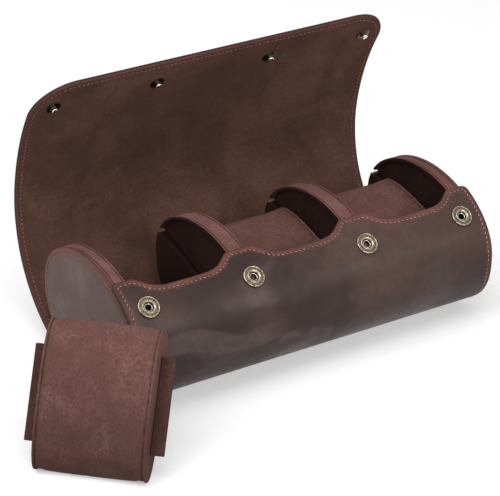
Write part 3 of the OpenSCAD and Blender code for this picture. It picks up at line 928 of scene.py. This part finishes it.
# painted shade: a dark collar round the foot of each ring, for the contact shade round it and the ring's dark outer
# wall
shadeCollar = spun("socketBack", [
    (5.0, -0.05), (6.3, -0.05), (6.36, 0.12), (6.34, 0.34), (6.2, 0.46), (6.0, 0.48), (5.0, 0.48)])
# painted shade: a dark cup closes each bore, for the shade deep in the hole
boreShade = spun("socketCup", [(0, -3.75), (2.6, -3.75), (2.6, -0.1), (2.3, -0.1), (2.3, -3.4), (0, -3.4)])
wire = spun("springWire", [
    (2.1 + 0.24 * math.cos(a), -0.55 + 0.24 * math.sin(a)) for a in np.linspace(0, math.tau, 11)[:-1]])
dots = []
for k in range(8):
    bpy.ops.mesh.primitive_uv_sphere_add(segments=10, ring_count=6, radius=0.27)
    spot = math.radians(45 * k + 20)
    at = Matrix.Translation((4.65 * math.cos(spot), 4.65 * math.sin(spot), 0.72)) @ Matrix.Diagonal((1, 1, 0.5, 1))
    dots.append(moved(bpy.context.object, at))
for source, name, finish, slot, node in (
        (ring, "snapSockets", brass, "antique_brass", "snap_sockets"),
        (face, "socketFaces", dullBrass, "antique_brass", None),
        (shadeCollar, "socketBacks", darkMetalAndShade, "antique_brass", None),
        (boreShade, "socketCups", darkMetalAndShade, "antique_brass", None),
        (wire, "springWires", springSteel, "spring_steel", "socket_springs"),
        (joined("dotRing", dots), "socketDots", darkMetalAndShade, "antique_brass", None)):
    atSnaps(source, name, socketPlaces, finish, slot, "case", node)
brass.wear(cadNodes["socket_washers"])

studPart = 1 - flap["studInset"] / (flap["shares"][lastPanel] * flap["girth"])
studY, studZ = panelPoint(lastPanel, studPart, 0)
studTurn = math.radians(sum(flap["arcs"][:lastPanel]) + studPart * flap["arcs"][lastPanel])
studPlaces = [Matrix.Translation((x, studY, studZ)) @ Matrix.Rotation(studTurn, 4, "X") for x in case["snapXs"]]
foot = spun("studFoot", [
    (1.25, 0.02), (4.3, 0.02), (4.3, 0.2), (4.2, 0.38), (3.9, 0.52), (3.4, 0.6), (2.6, 0.6), (2.1, 0.66),
    (1.75, 0.95), (1.5, 1.2), (1.25, 1.2)])
pin = spun("studPin", [
    (0.0, 1.0), (1.35, 1.0), (1.4, 1.5), (1.4, 1.9), (1.55, 2.1), (1.74, 2.25), (1.8, 2.45), (1.72, 2.72),
    (1.45, 2.93), (1.0, 3.0), (0.55, 2.96), (0.0, 2.9)])
cap = spun("capDome", [
    (0.0, -4.0), (1.8, -3.97), (3.2, -3.87), (4.4, -3.66), (5.3, -3.36), (5.9, -3.0), (6.13, -2.75),
    (6.13, -2.62), (1.18, -2.62), (1.18, 1.2), (0.0, 1.2)])
atSnaps(foot, "studFeet", studPlaces, darkMetalAndShade, "antique_brass", "flap_panel_6", "snap_studs")
atSnaps(pin, "studPins", studPlaces, brightMetal, "antique_brass", "flap_panel_6")
atSnaps(cap, "snapCaps", studPlaces, brass, "antique_brass", "flap_panel_6", "snap_caps")
print("snaps set")


cushion = {
    "width": 59.2, "length": 78.0, "thick": 26.0, "fullness": 2.5, "side": 1.2, "lip": 0.5, "crown": 0.35, "tuck": 0.9,
    "wingWidth": 5.4, "wingLoose": 7.2, "wingLength": 50.0, "wingThick": 3.0, "fill": 0.85,
    "coverPoints": 132, "inSlot": (0, -1.5, -0.2), "looseTurn": -44, "looseLean": 33,
    "pressure": 2.0, "slack": 0.02, "stiffness": 1.0, "held": 0.95, "swell": 1.0, "steps": 20,
}


# outline of a cushion seen from its side, as far out as off says
def ovalRing(x, off, count=90):
    ringPoints = []
    for k in range(count):
        c, s = math.cos(math.tau * k / count), math.sin(math.tau * k / count)
        power = 2 / cushion["fullness"]
        ringPoints.append((x, (cushion["length"] / 2 + off) * math.copysign(abs(c) ** power, c),
                           (cushion["thick"] / 2 + off) * math.copysign(abs(s) ** power, s)))
    return ringPoints


def makeCover():
    half = cushion["width"] / 2 - cushion["side"]
    stops = [-1, -0.985, -0.965, -0.93, -0.86, -0.74, -0.6, -0.45, -0.3, -0.15, 0,
             0.15, 0.3, 0.45, 0.6, 0.74, 0.86, 0.93, 0.965, 0.985, 1]
    rings = []
    for u in np.interp(np.arange(0, len(stops) - 0.5, 0.5), range(len(stops)), stops):
        tuck = cushion["tuck"] * max(0, (abs(u) - 0.93) / 0.07) ** 1.5
        off = -cushion["lip"] + cushion["crown"] * (1 - abs(u) ** 2.4) - tuck
        rings.append(ovalRing(u * (half + 0.3), off, cushion["coverPoints"]))
    return ringPiece("cushionCover", rings)


# the suede swells over its foam as cloth that both seams hold, eased so that it stays within a cap
def plumped(piece, cap):
    flat = points(piece)
    toMetres(piece)
    seams = piece.vertex_groups.new(name="seams")
    held = cushion["held"] * flat[:, 0].max()
    seams.add([k for k, x in enumerate(flat[:, 0]) if abs(x) > held], 1.0, "REPLACE")
    pick(piece)
    cloth = piece.modifiers.new("Cloth", "CLOTH")
    cloth.settings.vertex_group_mass = "seams"
    cloth.settings.quality = 6
    cloth.settings.mass = 0.1
    cloth.settings.shrink_min = -cushion["slack"]
    cloth.settings.bending_stiffness = cushion["stiffness"]
    cloth.settings.use_pressure = True
    cloth.settings.uniform_pressure_force = cushion["pressure"]
    cloth.settings.effector_weights.gravity = 0
    cloth.point_cache.frame_end = cushion["steps"]
    for step in range(1, cushion["steps"] + 1):
        bpy.context.scene.frame_set(step)
    bpy.ops.object.modifier_apply(modifier=cloth.name)
    bpy.context.scene.frame_set(1)
    piece.vertex_groups.clear()
    shift = points(piece) / mm - flat
    far = np.linalg.norm(shift, axis=1)[:, None]
    print("cover swelled", round(float(far.max()), 2), "mm at most,", round(float(far.mean()), 2), "on average")
    return place(piece, flat + shift * cap / (cap + far))


def makeSides():
    x0, x1 = cushion["width"] / 2 - cushion["side"], cushion["width"] / 2
    profile = [(x0, -1.2), (x0, -0.25), (x0 + 0.12, -0.08), (x0 + 0.35, 0), (x1 - 0.35, 0), (x1 - 0.12, -0.08),
               (x1, -0.3), (x1, -1.2), (x1 - 0.12, -2.2), (x1 - 0.12, -9)]
    right = ringPiece("sideRight", [ovalRing(x, off) for x, off in profile])
    left = mirroredX(copied(right, "sideLeft"))
    return joined("cushionSides", [right, left])


# outside its slots the loose cushion's padded tabs spread to their full width
def makeWings(wide):
    wings = []
    for side in (-1, 1):
        bpy.ops.mesh.primitive_cube_add(size=1)
        wing = bpy.context.object
        x = side * (cushion["width"] / 2 + wide / 2 - 0.05)
        size = Matrix.Diagonal((wide + 0.1, cushion["wingLength"], cushion["wingThick"], 1))
        moved(wing, Matrix.Translation((x, 0, 0)) @ size)
        useModifier(wing, "BEVEL", width=0.7, segments=3)
        wings.append(wing)
    return joined("cushionWings", wings)


inBay = slotTurn @ Matrix.Translation(cushion["inSlot"])
looseLow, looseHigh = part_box("loose_cushion_foam")
looseAt = (looseLow + looseHigh) / 2 / mm
outsideTurn = Matrix.Rotation(math.radians(cushion["looseTurn"]), 4, "Z") \
    @ Matrix.Rotation(math.radians(90 - cushion["looseLean"]), 4, "X")
places = {
    "middle": Matrix.Translation((case["bayXs"][1], 0, 0)) @ inBay,
    "right": Matrix.Translation((case["bayXs"][2], 0, 0)) @ inBay,
    "loose": Matrix.Translation(looseAt) @ outsideTurn,
}
cover, sides = plumped(makeCover(), cushion["swell"]), makeSides()
wings, looseWings = makeWings(cushion["wingWidth"]), makeWings(cushion["wingLoose"])
for name, matrix in places.items():
    body = name + "_cushion"
    for source, part in ((cover, "Cover"), (sides, "Sides"), (looseWings if name == "loose" else wings, "Wings")):
        piece = smoothed(toMetres(moved(copied(source, name + "Cushion" + part), matrix)), 40)
        (tabSuede if part == "Wings" else cushionSuede).wear(piece, "cushion_suede")
        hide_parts("%s_%s" % (body, part.lower()))
        if part == "Cover":
            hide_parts(body + "_foam")
        cushion["fill"] if part == "Cover" else 0.9
        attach(piece, body)
for source in (cover, sides, wings, looseWings):
    bpy.data.objects.remove(source)
print("cushions covered")

for node in ("left_end_core", "right_end_core", "left_divider_core", "right_divider_core"):
    board.wear(cadNodes[node])


studio = {
    "floorSize": 14, "floorTone": 0.66, "floorGlow": 0.37, "worldTone": 0.3, "lampAim": (0, 0, 0.05),
    "camera": (-0.5796, -0.9258, 0.6228), "target": (-0.01235, -0.00105, 0.05595), "lens": 159.54,
}


def aimed(start, target):
    return (Vector(target) - Vector(start)).to_track_quat("-Z", "Y").to_euler()


# 1 for what the camera sees itself, in a mirror or through glass
def seenOrMirrored(tree):
    path = tree.nodes.new("ShaderNodeLightPath")
    total = path.outputs["Is Camera Ray"]
    for output in ("Is Glossy Ray", "Is Transmission Ray"):
        both = tree.nodes.new("ShaderNodeMath")
        both.operation, both.use_clamp = "ADD", True
        tree.links.new(total, both.inputs[0])
        tree.links.new(path.outputs[output], both.inputs[1])
        total = both.outputs[0]
    return total


bpy.ops.mesh.primitive_plane_add(size=studio["floorSize"], location=(0, 0, 0))
floor = named("studioFloor")
floorFinish = Finish("whiteFloor")
tree = floorFinish.tree
floorFinish.set(Base_Color=(studio["floorTone"],) * 3 + (1,), Roughness=0.9, Specular_IOR_Level=0.0)
glow = tree.nodes.new("ShaderNodeEmission")
strength = tree.nodes.new("ShaderNodeMath")
strength.operation = "MULTIPLY"
strength.inputs[1].default_value = studio["floorGlow"]
tree.links.new(seenOrMirrored(tree), strength.inputs[0])
tree.links.new(strength.outputs[0], glow.inputs["Strength"])
both = tree.nodes.new("ShaderNodeAddShader")
tree.links.new(floorFinish.shader.outputs[0], both.inputs[0])
tree.links.new(glow.outputs[0], both.inputs[1])
tree.links.new(both.outputs[0], tree.nodes["Material Output"].inputs["Surface"])
floor.data.materials.append(floorFinish.material)

world = bpy.data.worlds.new("paleStudio")
bpy.context.scene.world = world
world.use_nodes = True
sky = world.node_tree.nodes["Background"]
sky.inputs["Color"].default_value = (1, 1, 1, 1)
seen = seenOrMirrored(world.node_tree)
span = world.node_tree.nodes.new("ShaderNodeMapRange")
span.inputs["To Min"].default_value = studio["worldTone"]
world.node_tree.links.new(seen, span.inputs["Value"])
world.node_tree.links.new(span.outputs[0], sky.inputs["Strength"])

lamps = {
    "softTop": {"at": (-0.45, -0.35, 1.5), "size": (1.5, 0.9), "power": 14},
    "softFront": {"at": (0.1, -1.2, 0.72), "size": (1.0, 0.28), "power": 8.5},
    "softLeft": {"at": (-1.5, -0.3, 1.2), "size": (1.0, 1.2), "power": 10},
    "softBack": {"at": (-0.3, 1.3, 1.4), "size": (1.6, 0.8), "power": 7},
}
for name, lamp in lamps.items():
    bpy.ops.object.light_add(type="AREA", location=lamp["at"])
    light = bpy.context.object
    light.name = name
    light.data.shape = "RECTANGLE"
    light.data.size, light.data.size_y = lamp["size"]
    light.data.energy = lamp["power"]
    light.rotation_euler = aimed(lamp["at"], studio["lampAim"])

bpy.ops.object.camera_add(location=studio["camera"])
camera = bpy.context.object
camera.name = "studioCamera"
camera.rotation_euler = aimed(studio["camera"], studio["target"])
camera.data.sensor_fit = "HORIZONTAL"
camera.data.sensor_width = 36
camera.data.lens = studio["lens"]
bpy.context.scene.camera = camera
bpy.context.scene.view_settings.view_transform = "Standard"

deselect()
